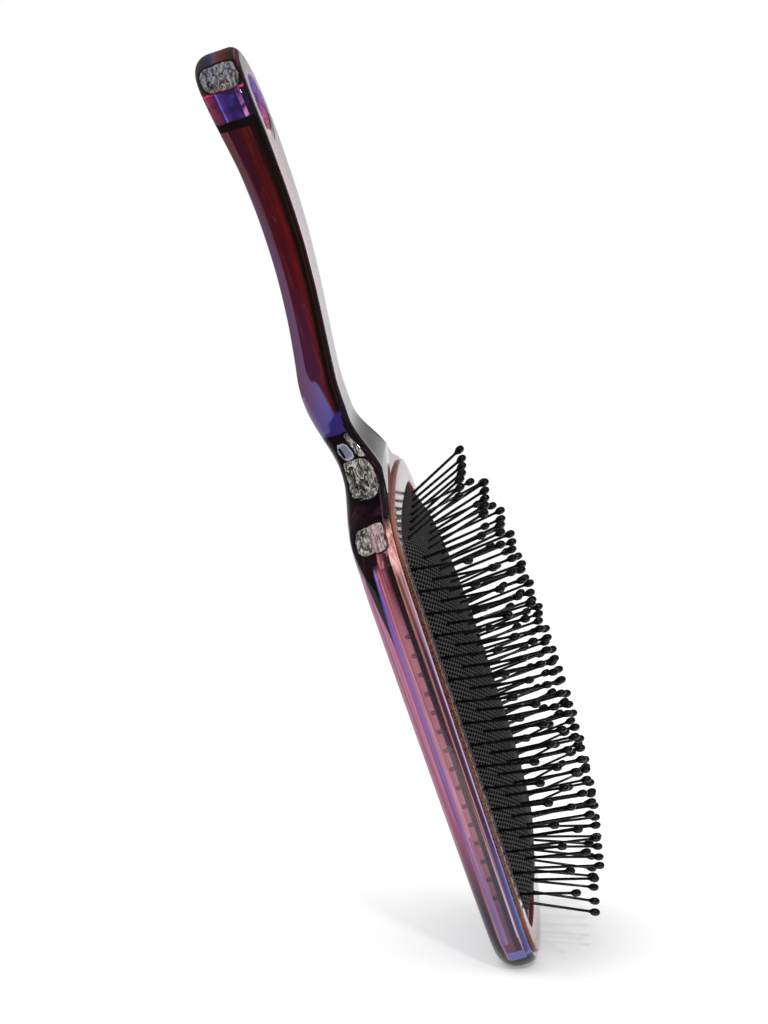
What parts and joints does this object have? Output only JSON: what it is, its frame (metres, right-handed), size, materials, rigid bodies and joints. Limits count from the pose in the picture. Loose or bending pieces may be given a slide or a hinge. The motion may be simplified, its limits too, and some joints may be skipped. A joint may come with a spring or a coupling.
{
  "type": "cushion hairbrush",
  "caption": "Detangling paddle brush: clear S-curved handle moulded with its tray, a rim frame, and a domed rubber cushion carrying a fan of ball-tipped pins.",
  "frame": {"origin": "middle of the brush's length and width, on the surface that the brush lies on", "axes": "+X from the hang hole toward the tip of the head, +Z the way the pins point, Y across the head; the brush lies on its back"},
  "size_m": [0.222, 0.074, 0.036],
  "materials": {
    "clear_plastic": "clear, polished",
    "rim_plastic": "clear, polished",
    "ring_plastic": "gloss",
    "rubber": "cross-hatched, dull",
    "pin_plastic": "gloss"
  },
  "bodies": {
    "root": {"body": "clear_plastic", "rim_frame": "rim_plastic", "seat_ring": "ring_plastic", "cushion": "rubber", "pin_row_01": "pin_plastic", "pin_row_02": "pin_plastic", "pin_row_03": "pin_plastic", "pin_row_04": "pin_plastic", "pin_row_05": "pin_plastic", "pin_row_06": "pin_plastic", "pin_row_07": "pin_plastic", "pin_row_08": "pin_plastic", "pin_row_09": "pin_plastic", "pin_row_10": "pin_plastic", "pin_row_11": "pin_plastic", "pin_row_12": "pin_plastic", "pin_row_13": "pin_plastic", "pin_row_14": "pin_plastic", "pin_row_15": "pin_plastic", "pin_row_16": "pin_plastic", "pin_row_17": "pin_plastic", "pin_row_18": "pin_plastic"}
  },
  "joints": []
}
